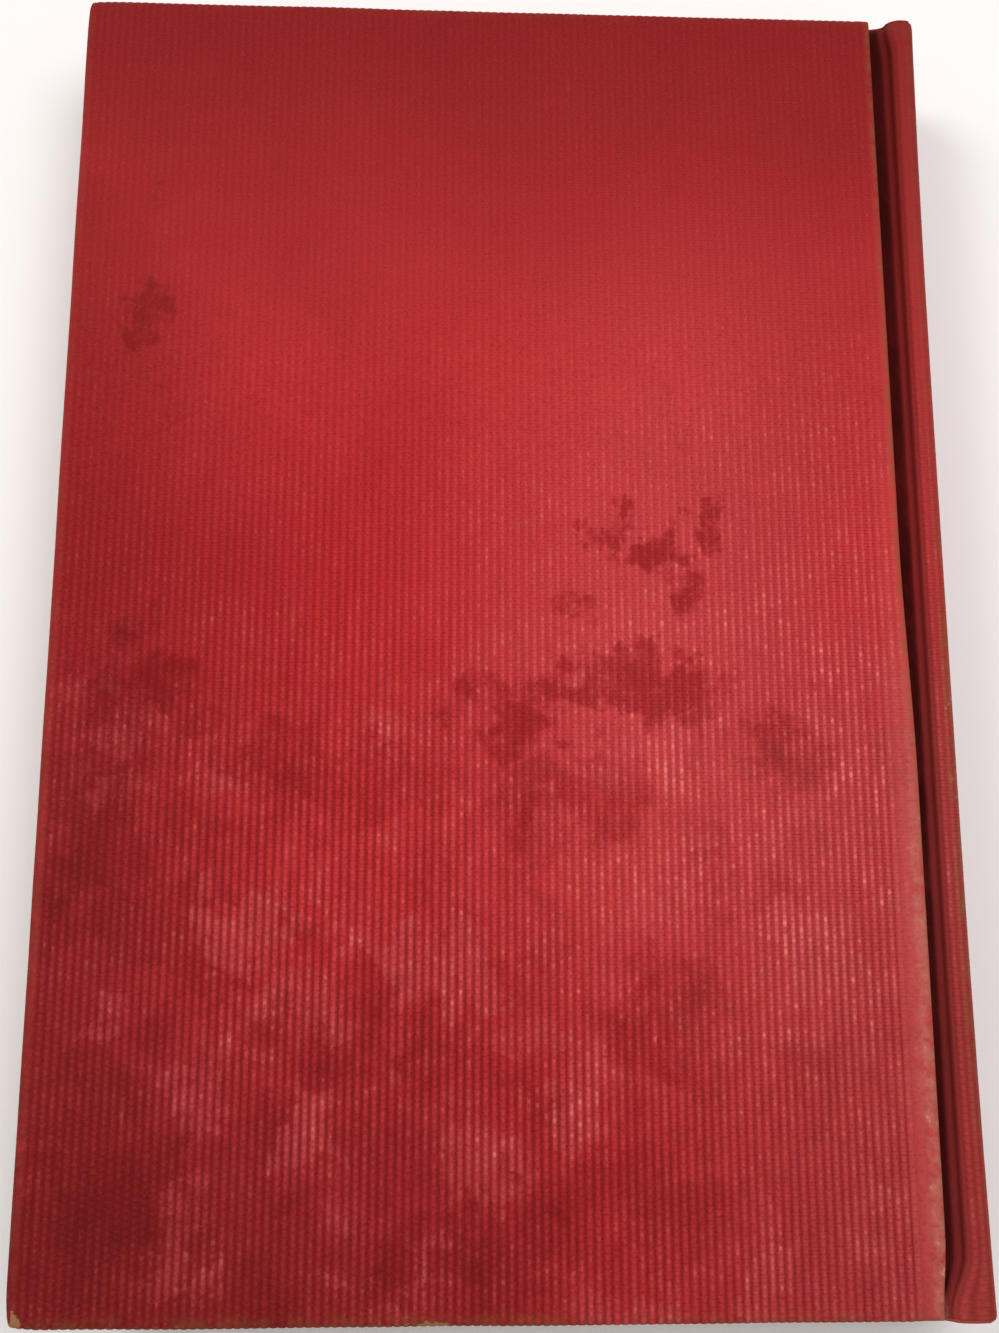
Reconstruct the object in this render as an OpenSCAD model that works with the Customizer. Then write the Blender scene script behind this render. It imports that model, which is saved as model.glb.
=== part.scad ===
// Cloth-bound hardback book, lying closed on its front cover with the spine towards +X.
// Millimetres, +Z up, head of the book towards +Y. The origin is the middle of its footprint.

/* [Case] */
// Width of each cover board
board_w = 132.9; // [100:0.1:170]
// Height of each cover board
board_h = 209.3; // [150:0.1:260]
// Thickness of the cover boards
board_t = 2.4; // [1.6:0.1:3.2]
// Radius that rounds the edges and corners of a board
board_edge_r = 0.5; // [0.3:0.05:0.7]
// Radius of the bound corners, seen from above
corner_r = 1.5; // [1:0.1:3]

/* [Cloth] */
// Thickness of the book cloth
cloth_t = 0.35; // [0.25:0.05:0.5]
// How far the cloth is turned in over the inside of the boards
turn_in = 15; // [10:0.5:20]
// Distance between two ribs of the weave
rib_pitch = 1.25; // [1.1:0.05:2.5]
// Height of the ribs above the ground of the cloth
rib_h = 0.13; // [0.08:0.01:0.2]
// Width of the band beside the groove where the ribs are pressed flat
pressed_w = 3; // [1:0.5:8]
// Width of the mitre gap where two turn-ins meet
mitre_gap = 0.25; // [0.2:0.05:0.5]

/* [Joint and spine] */
// Width of the groove between a board and the ridge beside the spine
groove_w = 3.4; // [3:0.1:5]
// Radius of the rounded ridge at the shoulder
ridge_r = 1.9; // [1.7:0.05:2.2]
// Radius of the hollow where the groove runs up into the ridge
groove_r = 0.9; // [0.7:0.05:1.2]
// Outer radius of the rounded spine
spine_r = 29; // [24:0.5:40]
// Thickness of the card strip inside the spine
inlay_t = 0.7; // [0.4:0.05:0.9]
// Free space between the spine lining and the turned-in cloth
hollow = 0.15; // [0.1:0.05:0.4]
// How far the spine cloth is turned in at head and tail
cap_turn_in = 12; // [8:0.5:20]
// Gap between a cover and the strip of cloth in its groove
cover_gap = 0.3; // [0.2:0.05:0.5]

/* [Book block] */
// Thickness of all the leaves together
leaves_t = 16.5; // [12:0.1:22]
// Depth of the border that the boards stand proud at head and tail
square_h = 3.2; // [2:0.1:5]
// Depth of the border that the boards stand proud at the fore-edge
square_w = 3.6; // [2:0.1:5]
// Number of sewn sections
sections = 16; // [10:1:20]
// Depth of the furrow between the folds of two sections
fold_depth = 0.45; // [0.2:0.05:0.6]
// Thickness of the endpapers
paper_t = 0.2; // [0.15:0.05:0.25]
// Air between the book block and each cover
air = 0.1; // [0.05:0.05:0.3]
// Border of turned-in cloth left bare around a pastedown
paste_margin = 3.2; // [2:0.1:6]

/* [Spine linings] */
// Thickness of the gauze glued over the folds
gauze_t = 0.2; // [0.15:0.05:0.3]
// How far the gauze stops short of head and tail
gauze_short = 12; // [8:1:25]
// Thickness of the paper lining over the gauze
lining_t = 0.25; // [0.15:0.05:0.4]
// Radius of the bead of a headband
bead_r = 0.95; // [0.7:0.05:1.2]
// Length of the tape that holds a headband to the folds
tape_l = 9; // [5:0.5:11]
// Film of glue between two curved layers
glue_t = 0.02; // [0.02:0.01:0.05]

/* [Hidden] */

cloth_red = [0.62, 0.13, 0.14];
board_grey = [0.55, 0.48, 0.38];
leaf_cream = [0.90, 0.86, 0.76];
end_white = [0.88, 0.85, 0.78];

// Levels of one cover, measured inwards from its outer face
skin = rib_h + cloth_t;
board_in = skin + board_t;
cover_t = board_in + cloth_t + paper_t;
book_t = 2 * (cover_t + air + paper_t) + leaves_t;
mid_z = book_t / 2;

// Outline of a covered board
cover_w = board_w + 2 * cloth_t;
cover_h = board_h + 2 * cloth_t;
edge_r = board_edge_r + cloth_t;
block_h = cover_h - 2 * square_h;

// Radii of the layers round the spine, from the folds outwards
cloth_in_r = spine_r - skin;
inlay_out_r = cloth_in_r - glue_t;
inlay_in_r = inlay_out_r - inlay_t;
cap_out_r = inlay_in_r - glue_t;
cap_in_r = cap_out_r - cloth_t;
lining_out_r = cap_in_r - hollow;
lining_in_r = lining_out_r - lining_t;
gauze_out_r = lining_in_r - glue_t;
gauze_in_r = gauze_out_r - gauze_t;
fold_r = gauze_in_r - glue_t;

// Depths of the layers in the joint, from the tops of the ribs inwards
gauze_d = skin + glue_t;
fly_d = gauze_d + gauze_t + glue_t;
text_d = fly_d + paper_t;

// The ridge's centre lies inside the spine's circle, where the two arcs run into each other.
// These two are heights above the middle of the book and distances from the spine's centre.
ridge_z = mid_z - ridge_r;
ridge_x = sqrt(pow(spine_r - ridge_r, 2) - pow(ridge_z, 2));
ridge_a = atan2(ridge_z, ridge_x);

// Places across the book, with the whole width centred on the origin
book_w = cover_w + groove_w + ridge_r - ridge_x + spine_r;
fore_x = -book_w / 2;
back_x = fore_x + cover_w;
wall_x = back_x + groove_w;
spine_c = [wall_x + ridge_r - ridge_x, mid_z];
ridge_c = spine_c + [ridge_x, ridge_z];
leaf_x = fore_x + square_w;
leaf_top = mid_z + leaves_t / 2;
groove_z = leaf_top + text_d;
hollow_c = [wall_x - groove_r, groove_z + groove_r];

// Where across one rib its valley lies, and where its flat top starts and ends
rib_profile = [0, 0.3, 0.7];

arc_steps = 12;

// Points along an arc
function arc(c, r, a0, a1, n = arc_steps) =
    [for (i = [0 : n]) let (a = a0 + (a1 - a0) * i / n) c + r * [cos(a), sin(a)]];

// Points along ribs that lie side by side on an arc
function rib_arc(c, r, a0, a1) =
    let (count = max(1, round((a1 - a0) * PI / 180 * r / rib_pitch)))
    [for (i = [0 : count - 1], u = rib_profile)
        let (a = a0 + (a1 - a0) * (i + u) / count)
        c + (r - (u > 0 ? 0 : rib_h)) * [cos(a), sin(a)]];

// Angle at which a triangle's sides p and q meet, with r across from it: none where circles only touch
function corner_angle(p, q, r) =
    let (c = (p * p + q * q - r * r) / (2 * p * q))
    c > 0.9999999 ? 0 : acos(c);

// A line of points without those that repeat the one before
function tidy(points) =
    [for (i = [0 : len(points) - 1]) if (i == 0 || norm(points[i] - points[i - 1]) > 0.001) points[i]];

function reversed(points) = [for (i = [len(points) - 1 : -1 : 0]) points[i]];

function mirrored(points) = [for (p = points) [p.x, book_t - p.y]];

// Where a layer of spine radius r and joint depth d leaves the spine and joins the ridge
function leave_a(r, d) = ridge_a + corner_angle(r, spine_r - ridge_r, ridge_r - d);
function join_a(r, d) = ridge_a + 180 - corner_angle(ridge_r - d, spine_r - ridge_r, r);

// The upper joint at depth d below the cloth: over the ridge and down into the groove
function joint(r, d) = concat(
    arc(ridge_c, ridge_r - d, join_a(r, d), 180),
    arc(hollow_c, groove_r + d, 0, -90));

// A whole layer in section, from the lower groove round the spine to the upper groove
function layer(r, d, end_x) =
    let (half = concat(arc(spine_c, r, 0, leave_a(r, d)), joint(r, d), [[end_x, groove_z - d]]))
    concat(reversed(mirrored(half)), half);

// The outside of the spine's cloth: ribs over the spine and both ridges, pressed flat in the grooves
function spine_outside(end_x) =
    let (half = concat(
        rib_arc(spine_c, spine_r, 0, ridge_a),
        rib_arc(ridge_c, ridge_r, ridge_a, 180),
        arc(hollow_c, groove_r + rib_h, 0, -90),
        [[end_x, groove_z - rib_h]]))
    concat(reversed(mirrored(half)), half);

// Outline of the sewn folds: each section makes one rounded crown on the spine's arc.
// The outer halves of the first and last crowns run level into the shoulders.
function folds(r, a) =
    let (per = 6, steps = per * sections)
    [for (i = [0 : steps])
        let (at = a * (2 * i / steps - 1))
        let (crown = min(i, steps - i) < per / 2 ? 1 : sqrt(abs(sin(180 * i / per))))
        spine_c + (r - fold_depth * (1 - crown)) * [cos(at), sin(at)]];

module along_y(length, y = 0) {
    translate([0, y + length / 2, 0])
        rotate([90, 0, 0])
            linear_extrude(length)
                children();
}

// A band between an outer and an inner line of points
module band(outer, inner) {
    polygon(tidy(concat(outer, reversed(inner))));
}

// A layer that follows the spine's arc only, between two radii
module spine_band(r_out, r_in) {
    band(arc(spine_c, r_out, -ridge_a, ridge_a, 2 * arc_steps),
        arc(spine_c, r_in, -ridge_a, ridge_a, 2 * arc_steps));
}

// Carries a profile round the spine: its x is the radius, and its y runs in from the head end
module round_spine(head_y) {
    translate([spine_c.x, head_y, spine_c.y])
        rotate([90, 0, 0])
            rotate([0, 0, -ridge_a])
                rotate_extrude(angle = 2 * ridge_a, $fn = 180)
                    children();
}

// Turns a back piece into the front piece
module to_front() {
    translate([0, 0, book_t])
        mirror([0, 0, 1])
            children();
}

// Puts a piece at the head and its twin at the tail
module both_ends() {
    children();
    mirror([0, 1, 0])
        children();
}

module rounded_rect(size, r) {
    translate([r, 0])
        square([size.x - 2 * r, size.y]);
    translate([0, r])
        square([size.x, size.y - 2 * r]);
    for (x = [r, size.x - r], y = [r, size.y - r])
        translate([x, y])
            circle(r, $fn = 48);
}

// A slab with rounded edges and corners: x from the left, y centred, z upwards
module rounded_slab(size, edge, corner) {
    intersection() {
        along_y(size.y)
            rounded_rect([size.x, size.z], edge);
        translate([0, -size.y / 2, 0])
            rotate([90, 0, 90])
                linear_extrude(size.x)
                    rounded_rect([size.y, size.z], edge);
        translate([0, -size.y / 2, 0])
            linear_extrude(size.z)
                rounded_rect([size.x, size.y], corner);
    }
}

module text_block() {
    tip_a = leave_a(fold_r, text_d);
    upper = concat(joint(fold_r, text_d), [[leaf_x, leaf_top]]);
    color(leaf_cream)
        along_y(block_h)
            difference() {
                polygon(tidy(concat(reversed(mirrored(upper)), folds(fold_r, tip_a), upper)));
                // The fore-edge is hollow by as much as the spine is round
                translate([leaf_x - sqrt(pow(fold_r, 2) - pow(leaves_t / 2, 2)), mid_z])
                    circle(fold_r, $fn = 180);
            }
}

// The gauze covers the folds, passes over both shoulders and ends in the grooves
module spine_gauze() {
    end_x = back_x + cover_gap;
    color("ivory")
        along_y(block_h - 2 * gauze_short)
            band(layer(gauze_out_r, gauze_d, end_x), layer(gauze_in_r, gauze_d + gauze_t, end_x));
}

module spine_lining() {
    color("tan")
        along_y(block_h)
            spine_band(lining_out_r, lining_in_r);
}

// A rolled bead on the end of the leaves, with a tape glued to the folds under the lining
module end_band() {
    round_spine(block_h / 2 + bead_r) {
        translate([gauze_in_r - bead_r / 2, 0])
            circle(bead_r, $fn = 32);
        translate([gauze_in_r, 0])
            square([gauze_t, bead_r + tape_l]);
    }
}

module head_band() {
    color("goldenrod")
        end_band();
}

module tail_band() {
    color("goldenrod")
        mirror([0, 1, 0])
            end_band();
}

// A loose leaf that turns up the shoulder at its spine edge
module flyleaf() {
    along_y(block_h)
        band(concat(joint(fold_r, fly_d), [[leaf_x, leaf_top + paper_t]]),
            concat(joint(fold_r, text_d), [[leaf_x, leaf_top]]));
}

module front_flyleaf() {
    color(end_white)
        to_front()
            flyleaf();
}

module back_flyleaf() {
    color(end_white)
        flyleaf();
}

module spine_inlay() {
    color(board_grey)
        along_y(board_h)
            spine_band(inlay_out_r, inlay_in_r);
}

// The cloth lies over the inlay, both ridges and both grooves, and is folded in at head and tail
module spine_cloth() {
    end_x = back_x + cover_gap;
    color(cloth_red) {
        along_y(cover_h)
            band(spine_outside(end_x), layer(cloth_in_r, skin, end_x));
        both_ends()
            round_spine(cover_h / 2)
                translate([cap_in_r, 0]) {
                    square([cloth_t, cap_turn_in]);
                    square([cloth_in_r - cap_in_r + cloth_t / 2, cloth_t]);
                }
    }
}

module cover_board() {
    translate([fore_x + cloth_t, 0, book_t - board_in])
        rounded_slab([board_w, board_h, board_t], board_edge_r, corner_r - cloth_t);
}

// The part of a cover's inner face that the turned-in cloth leaves open, in plan
module inside_window(margin) {
    h = cover_h - 2 * margin;
    translate([fore_x + margin, -h / 2])
        square([cover_w - margin + cloth_t, h]);
}

// Ribs of the weave, side by side across the outer face as far as the pressed band
module ribs() {
    end_x = back_x - pressed_w;
    count = floor((end_x - fore_x - edge_r) / rib_pitch);
    first_x = end_x - count * rib_pitch;
    tops = [for (i = [0 : count - 1], u = rib_profile)
        [first_x + (i + u) * rib_pitch, book_t - (u > 0 ? 0 : rib_h)]];
    ends = [[end_x, book_t - rib_h], [end_x, book_t - skin], [first_x, book_t - skin]];
    along_y(cover_h - 2 * edge_r)
        polygon(concat(tops, ends));
}

// Two slits where the turn-ins of the fore-edge meet those of head and tail
module mitres() {
    both_ends()
        translate([fore_x, cover_h / 2, book_t - cover_t])
            rotate([0, 0, -45])
                translate([corner_r, -mitre_gap / 2, 0])
                    cube([turn_in * sqrt(2), mitre_gap, cover_t - board_in]);
}

module cover_cloth() {
    wrap_t = 2 * cloth_t + board_t;
    difference() {
        union() {
            translate([fore_x, 0, book_t - rib_h - wrap_t])
                rounded_slab([cover_w, cover_h, wrap_t], edge_r, corner_r);
            ribs();
        }
        cover_board();
        translate([0, 0, book_t - board_in - cloth_t - 1])
            linear_extrude(cloth_t + 1)
                inside_window(turn_in);
        mitres();
    }
}

// The glued leaf: it lies on the turn-ins all round and drops to the board between them
module pastedown() {
    h = cover_h - 2 * paste_margin;
    difference() {
        translate([fore_x + paste_margin, -h / 2, book_t - cover_t])
            cube([cover_w - paste_margin, h, cloth_t + paper_t]);
        // Room for the turned-in cloth
        translate([0, 0, book_t - board_in - cloth_t])
            linear_extrude(cloth_t + 1)
                difference() {
                    inside_window(0);
                    inside_window(turn_in);
                }
        // The step down inside the turn-ins
        translate([0, 0, book_t - cover_t - 1])
            linear_extrude(cloth_t + 1)
                inside_window(turn_in + paper_t);
    }
}

module front_board() {
    color(board_grey)
        to_front()
            cover_board();
}

module front_cloth() {
    color(cloth_red)
        to_front()
            cover_cloth();
}

module front_pastedown() {
    color(end_white)
        to_front()
            pastedown();
}

module back_board() {
    color(board_grey)
        cover_board();
}

module back_cloth() {
    color(cloth_red)
        cover_cloth();
}

module back_pastedown() {
    color(end_white)
        pastedown();
}

text_block();
spine_gauze();
spine_lining();
head_band();
tail_band();
front_flyleaf();
back_flyleaf();
spine_inlay();
spine_cloth();
front_board();
front_cloth();
front_pastedown();
back_board();
back_cloth();
back_pastedown();
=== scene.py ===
import math

import bmesh
import bpy
import numpy as np
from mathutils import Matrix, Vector, noise


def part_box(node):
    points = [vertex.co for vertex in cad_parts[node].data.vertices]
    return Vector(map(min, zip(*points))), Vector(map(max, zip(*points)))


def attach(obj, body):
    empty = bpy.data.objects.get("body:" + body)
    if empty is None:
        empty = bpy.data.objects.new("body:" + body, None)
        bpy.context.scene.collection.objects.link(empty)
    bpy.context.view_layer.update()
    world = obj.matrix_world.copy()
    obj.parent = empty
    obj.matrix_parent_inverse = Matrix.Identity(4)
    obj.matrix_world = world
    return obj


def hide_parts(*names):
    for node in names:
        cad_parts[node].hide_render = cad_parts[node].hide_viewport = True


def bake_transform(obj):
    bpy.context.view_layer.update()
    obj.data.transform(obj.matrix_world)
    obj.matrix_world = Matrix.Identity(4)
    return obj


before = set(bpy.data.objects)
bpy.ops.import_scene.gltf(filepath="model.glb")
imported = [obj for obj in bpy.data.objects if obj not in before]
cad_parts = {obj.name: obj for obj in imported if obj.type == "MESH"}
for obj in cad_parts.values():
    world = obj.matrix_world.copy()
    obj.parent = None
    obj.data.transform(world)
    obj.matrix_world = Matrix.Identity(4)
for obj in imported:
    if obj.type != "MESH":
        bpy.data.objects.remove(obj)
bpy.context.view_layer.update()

# Sizes, in metres

MM = 0.001
cover_lo, cover_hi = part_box("back_cloth")
block_lo, block_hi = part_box("text_block")
pasted_lo, pasted_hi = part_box("back_pastedown")

BOOK_T = cover_hi.z
MID_Z = BOOK_T / 2
FORE_X, BACK_X = cover_lo.x, cover_hi.x
COVER_H = cover_hi.y - cover_lo.y
BLOCK_H = block_hi.y - block_lo.y
LEAF_X = block_lo.x

CLOTH, INLAY, PAPER, GLUE = 0.35 * MM, 0.7 * MM, 0.2 * MM, 0.02 * MM
HOLLOW, LINING = 0.15 * MM, 0.25 * MM
RIB_PITCH, RIB_H = 1.25 * MM, 0.13 * MM
# Cross threads are counted from well below the tail, so that no count is negative
THREAD_PITCH, THREADS_BELOW = 1.05 * MM, 500
SKIN = RIB_H + CLOTH
BOARD_T = 2.4 * MM
EDGE_R, CORNER_R = 0.85 * MM, 1.5 * MM
TURN_IN, CAP_TURN_IN = 15 * MM, 12 * MM
PRESSED_W = 3 * MM
CAP_BEND, JOINT_BEND, JOINT_TURN_IN = 0.45 * MM, 0.42 * MM, 2.9 * MM
LIP_SPREAD, SCUFF_X = 0.8 * MM, -11.5 * MM
SPINE_R, RIDGE_R, HOLLOW_R, GROOVE_W = 29 * MM, 1.9 * MM, 0.9 * MM, 3.4 * MM
LEAVES_T = 16.5 * MM
GAUZE = 0.09 * MM
SECTIONS, LEAVES_EACH, FURROW = 16, 8, 0.45 * MM

# The ridge's circle runs into the spine's circle, and both stand at fixed distances from the groove
ridge_rise = MID_Z - RIDGE_R
ridge_run = math.sqrt((SPINE_R - RIDGE_R) ** 2 - ridge_rise ** 2)
RIDGE_A = math.degrees(math.atan2(ridge_rise, ridge_run))
WALL_X = BACK_X + GROOVE_W
SPINE_C = np.array([WALL_X + RIDGE_R - ridge_run, MID_Z])
RIDGE_C = SPINE_C + [ridge_run, ridge_rise]
LEAF_TOP = MID_Z + LEAVES_T / 2
TEXT_D = SKIN + GLUE + 2 * PAPER + GLUE
GROOVE_Z = LEAF_TOP + TEXT_D
HOLLOW_C = np.array([WALL_X - HOLLOW_R, GROOVE_Z + HOLLOW_R])
BOARD_LOW = BOOK_T - SKIN - BOARD_T
TURNED_LOW = BOARD_LOW - CLOTH
FOLD_R = SPINE_R - SKIN - INLAY - CLOTH - HOLLOW - LINING - PAPER - 4 * GLUE


def smooth(a, b, x):
    t = np.clip((x - a) / (b - a), 0, 1)
    return t * t * (3 - 2 * t)


def arc(centre, radius, start, end, steps):
    a = np.radians(np.linspace(start, end, steps + 1))
    return centre + radius * np.stack([np.cos(a), np.sin(a)], 1)


def wander(x, y, scale, seed):
    """Soft noise from -1 to 1 over a surface, the same on every run."""
    return noise.noise(Vector((x / scale, y / scale, seed * 7.31)))


def placed(name, data):
    """A new object in the scene, at the origin."""
    held = bpy.data.objects.new(name, data)
    bpy.context.scene.collection.objects.link(held)
    return held


def mesh_object(name, points, faces, attributes=None):
    """A finished mesh at the origin, with smooth faces and its per-point attributes."""
    mesh = bpy.data.meshes.new(name)
    mesh.from_pydata([tuple(p) for p in points], [], [tuple(int(i) for i in f) for f in faces])
    for key, values in (attributes or {}).items():
        values = np.asarray(values, np.float32)
        kind = "FLOAT_VECTOR" if values.ndim == 2 else "FLOAT"
        layer = mesh.attributes.new(key, kind, "POINT")
        layer.data.foreach_set("vector" if values.ndim == 2 else "value", values.ravel())
    mesh.polygons.foreach_set("use_smooth", [True] * len(mesh.polygons))
    mesh.validate()
    mesh.update()
    return placed(name, mesh)


def crisp(*pieces):
    """Keeps cut edges sharp and the rest smooth."""
    for piece in pieces:
        piece.data.set_sharp_from_angle(angle=math.radians(50))


def mirrored(points):
    """The same points for the front cover: turned over about the middle of the leaves."""
    return np.stack([points[:, 0], points[:, 1], BOOK_T - points[:, 2]], 1)


def grid_faces(index):
    """Quads over a 2-D array of point numbers."""
    a, b, c, d = index[:-1, :-1], index[1:, :-1], index[1:, 1:], index[:-1, 1:]
    return np.stack([a.ravel(), b.ravel(), c.ravel(), d.ravel()], 1)


# Node building

VALUE, VECTOR, GEOMETRY = "NodeSocketFloat", "NodeSocketVector", "NodeSocketGeometry"


class Nodes:
    """Builds the nodes of one tree. Any input may be a socket to join or a plain value."""

    def __init__(self, tree):
        self.tree = tree
        self.link = tree.links.new

    def put(self, kind, links=None, **settings):
        """A node with its settings and its inputs."""
        node = self.tree.nodes.new(kind)
        for key, value in settings.items():
            setattr(node, key, value)
        for key, value in (links or {}).items():
            if isinstance(value, bpy.types.NodeSocket):
                self.link(value, node.inputs[key])
            else:
                node.inputs[key].default_value = value
        return node

    def send(self, inputs, values):
        """Joins values to the named inputs of a shader or of a group's end."""
        for label, value in values.items():
            self.link(value, inputs[label])

    def calc(self, operation, a, b=0.0, c=0.0, clamp=False):
        links = {0: a, 1: b, 2: c}
        return self.put("ShaderNodeMath", links, operation=operation, use_clamp=clamp).outputs[0]

    def times(self, product, *factors):
        for factor in factors:
            product = self.calc("MULTIPLY", product, factor)
        return product

    def most(self, greatest, *values):
        for value in values:
            greatest = self.calc("MAXIMUM", greatest, value)
        return greatest

    def line(self, value, slope, start, clamp=False):
        """The value times a slope, plus a start."""
        return self.calc("MULTIPLY_ADD", value, slope, start, clamp)

    def vector(self, operation, a, b):
        return self.put("ShaderNodeVectorMath", {0: a, 1: b}, operation=operation).outputs[0]

    def split(self, vector):
        return self.put("ShaderNodeSeparateXYZ", {0: vector}).outputs

    def join(self, x, y, z=0.0):
        return self.put("ShaderNodeCombineXYZ", {0: x, 1: y, 2: z}).outputs[0]

    def ramp(self, value, low, high, out_low=0.0, out_high=1.0):
        """Smooth step of a value between two levels."""
        links = {"Value": value, "From Min": low, "From Max": high, "To Min": out_low, "To Max": out_high}
        return self.put("ShaderNodeMapRange", links, interpolation_type="SMOOTHSTEP").outputs["Result"]

    def tint(self, factor, a, b, blend="MIX"):
        """Mixes two colours, each a socket or a plain colour."""
        a, b = [(*c, 1.0) if isinstance(c, tuple) else c for c in (a, b)]
        node = self.put("ShaderNodeMix", {0: factor, 6: a, 7: b}, data_type="RGBA", blend_type=blend)
        return node.outputs[2]

    def grain(self, vector, scale, detail=4.0, roughness=0.55):
        links = {"Vector": vector, "Scale": scale, "Detail": detail, "Roughness": roughness}
        return self.put("ShaderNodeTexNoise", links).outputs["Fac"]

    def luck(self, dimensions, **at):
        """A random value from 0 to 1 for each place, number or pair."""
        return self.put("ShaderNodeTexWhiteNoise", at, noise_dimensions=dimensions).outputs["Value"]

    def stretched(self, vector, scale):
        return self.put("ShaderNodeMapping", {"Vector": vector, "Scale": scale}).outputs[0]

    def attribute(self, name, output="Vector"):
        return self.put("ShaderNodeAttribute", attribute_name=name).outputs[output]

    def group(self, tree, links):
        return self.put("ShaderNodeGroup", links, node_tree=tree).outputs

    def painted(self, geometry, finish):
        return self.put("GeometryNodeSetMaterial", {"Geometry": geometry, "Material": finish}).outputs[0]

    def whole(self, geometry):
        return self.put("GeometryNodeRealizeInstances", {"Geometry": geometry}).outputs[0]

    def moved(self, geometry, offset):
        return self.put("GeometryNodeSetPosition", {"Geometry": geometry, "Offset": offset}).outputs[0]


def numbers(*labels):
    """Sockets that hold one number each."""
    return dict.fromkeys(labels, VALUE)


def new_group(name, inputs, outputs, kind="ShaderNodeTree"):
    """An empty node group with named sockets: its builder, what it is given and what it puts out."""
    tree = bpy.data.node_groups.new(name, kind)
    for side, sockets in (("INPUT", inputs), ("OUTPUT", outputs)):
        for label, socket_type in sockets.items():
            tree.interface.new_socket(label, in_out=side, socket_type=socket_type)
    n = Nodes(tree)
    return n, n.put("NodeGroupInput").outputs, n.put("NodeGroupOutput").inputs


def canvas_weave():
    """Ribbed canvas: each rib shows between the cross threads, in turn with its neighbours."""
    n, given, out = new_group("canvas weave", {"Weave": VECTOR, "Relief": VALUE},
                              numbers("Height", "Float", "Valley", "Crossing", "Thread"))
    weave = given["Weave"]
    rib, thread, flat = n.split(weave)
    drift = n.line(n.grain(weave, 0.06, 2.0), 0.5, -0.25)
    crest = n.calc("SINE", n.times(n.calc("FRACT", rib), math.pi))
    number = n.calc("FLOOR", rib)
    odd = n.calc("MODULO", number, 2.0)
    along = n.calc("ADD", n.line(odd, 0.5, thread), drift)
    dash = n.line(n.calc("COSINE", n.times(along, math.tau)), 0.5, 0.5)
    luck = n.luck("2D", Vector=n.join(number, n.calc("ROUND", along)))
    slide = n.join(n.times(number, 3.7), n.times(along, 0.11))
    streak = n.ramp(n.grain(slide, 1.0, 3.0, 0.6), 0.32, 0.66)
    cluster = n.ramp(n.grain(weave, 0.09, 4.0, 0.65), 0.42, 0.62, 0.12, 1.0)

    # Painted highlights on the upper side of a rib: streaks of several stitches, and single stitches
    # painted as glints
    raised = n.times(n.ramp(crest, 0.62, 1.0), n.ramp(dash, 0.0, 0.8, 0.6, 1.0))
    glint = n.times(n.ramp(luck, 0.78, 1.0, 0.0, 0.42), cluster)
    glint = n.times(glint, n.ramp(dash, 0.05, 0.60))
    shine = n.calc("ADD", n.line(n.times(streak, cluster), 0.55, 0.24), glint)
    shine = n.times(shine, n.line(luck, 1.1, 0.35))

    open_part = n.line(flat, -0.85, 1.0)
    uneven = n.times(n.line(streak, -0.4, 1.0), open_part)
    rows = n.calc("COSINE", n.times(along, 2 * math.tau))
    fine = n.grain(weave, 3.0, 3.0, 0.7)
    bump = n.times(crest, n.line(dash, 0.62, 0.38))
    bump = n.line(n.times(raised, luck), 0.35, bump)
    bump = n.line(fine, 0.18, bump)
    # Float masks the painted highlights; Valley and Crossing mask painted shade with some dirt
    n.send(out, {
        "Height": n.times(bump, open_part, given["Relief"]),
        "Float": n.times(raised, shine, open_part),
        "Valley": n.times(n.ramp(crest, 0.92, 0.08), uneven),
        "Crossing": n.times(n.ramp(rows, 0.1, -0.9), uneven),
        "Thread": fine})
    return n.tree


def stain_spot():
    """One blot on the cover, strongest at its centre."""
    n, given, out = new_group(
        "stain spot", {"Place": VECTOR, "Centre": VECTOR, "Reach": VECTOR, **numbers("Strength")},
        numbers("Mask"))
    away = n.vector("DIVIDE", n.vector("SUBTRACT", given["Place"], given["Centre"]), given["Reach"])
    length = n.put("ShaderNodeVectorMath", {0: away}, operation="LENGTH").outputs["Value"]
    n.send(out, {"Mask": n.times(n.ramp(length, 1.0, 0.15), given["Strength"])})
    return n.tree


def paper_fibre():
    """Soft mottle, fibres and small brown specks of old paper."""
    n, given, out = new_group("paper fibre", {"Place": VECTOR}, numbers("Mottle", "Specks", "Height"))
    place = given["Place"]
    n.send(out, {
        "Mottle": n.grain(place, 28.0, 5.0),
        "Specks": n.ramp(n.grain(place, 620.0, 2.0, 0.4), 0.71, 0.80),
        "Height": n.times(n.grain(place, 2600.0, 3.0, 0.7), 0.012 * MM)})
    return n.tree


def leaf_edges():
    """The cut edges of the leaves: a thin line along each leaf, some darker than others."""
    n, given, out = new_group("leaf edges", {"Leaf": VALUE, "Place": VECTOR},
                              numbers("Gap", "Tone", "Height"))
    leaf = given["Leaf"]
    luck = n.luck("1D", W=n.calc("FLOOR", leaf))
    away = n.calc("ABSOLUTE", n.calc("SUBTRACT", n.calc("FRACT", leaf), 0.5))
    gap = n.times(n.ramp(away, 0.30, 0.5), n.line(luck, 0.8, 0.2))
    from_middle = n.put("ShaderNodeVectorMath", {0: given["Place"]}, operation="DISTANCE").outputs["Value"]
    n.send(out, {
        "Gap": gap,
        "Tone": n.grain(n.join(leaf, from_middle), 0.9, 3.0),
        "Height": n.times(n.calc("SUBTRACT", luck, gap), 0.06 * MM)})
    return n.tree


# Materials

def material(name):
    """An empty material: its builder, the inputs of its Principled shader, and the place on the book."""
    made = bpy.data.materials.new(name)
    made.use_nodes = True
    n = Nodes(made.node_tree)
    place = n.put("ShaderNodeTexCoord").outputs["Object"]
    return made, n, made.node_tree.nodes["Principled BSDF"].inputs, place


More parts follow.
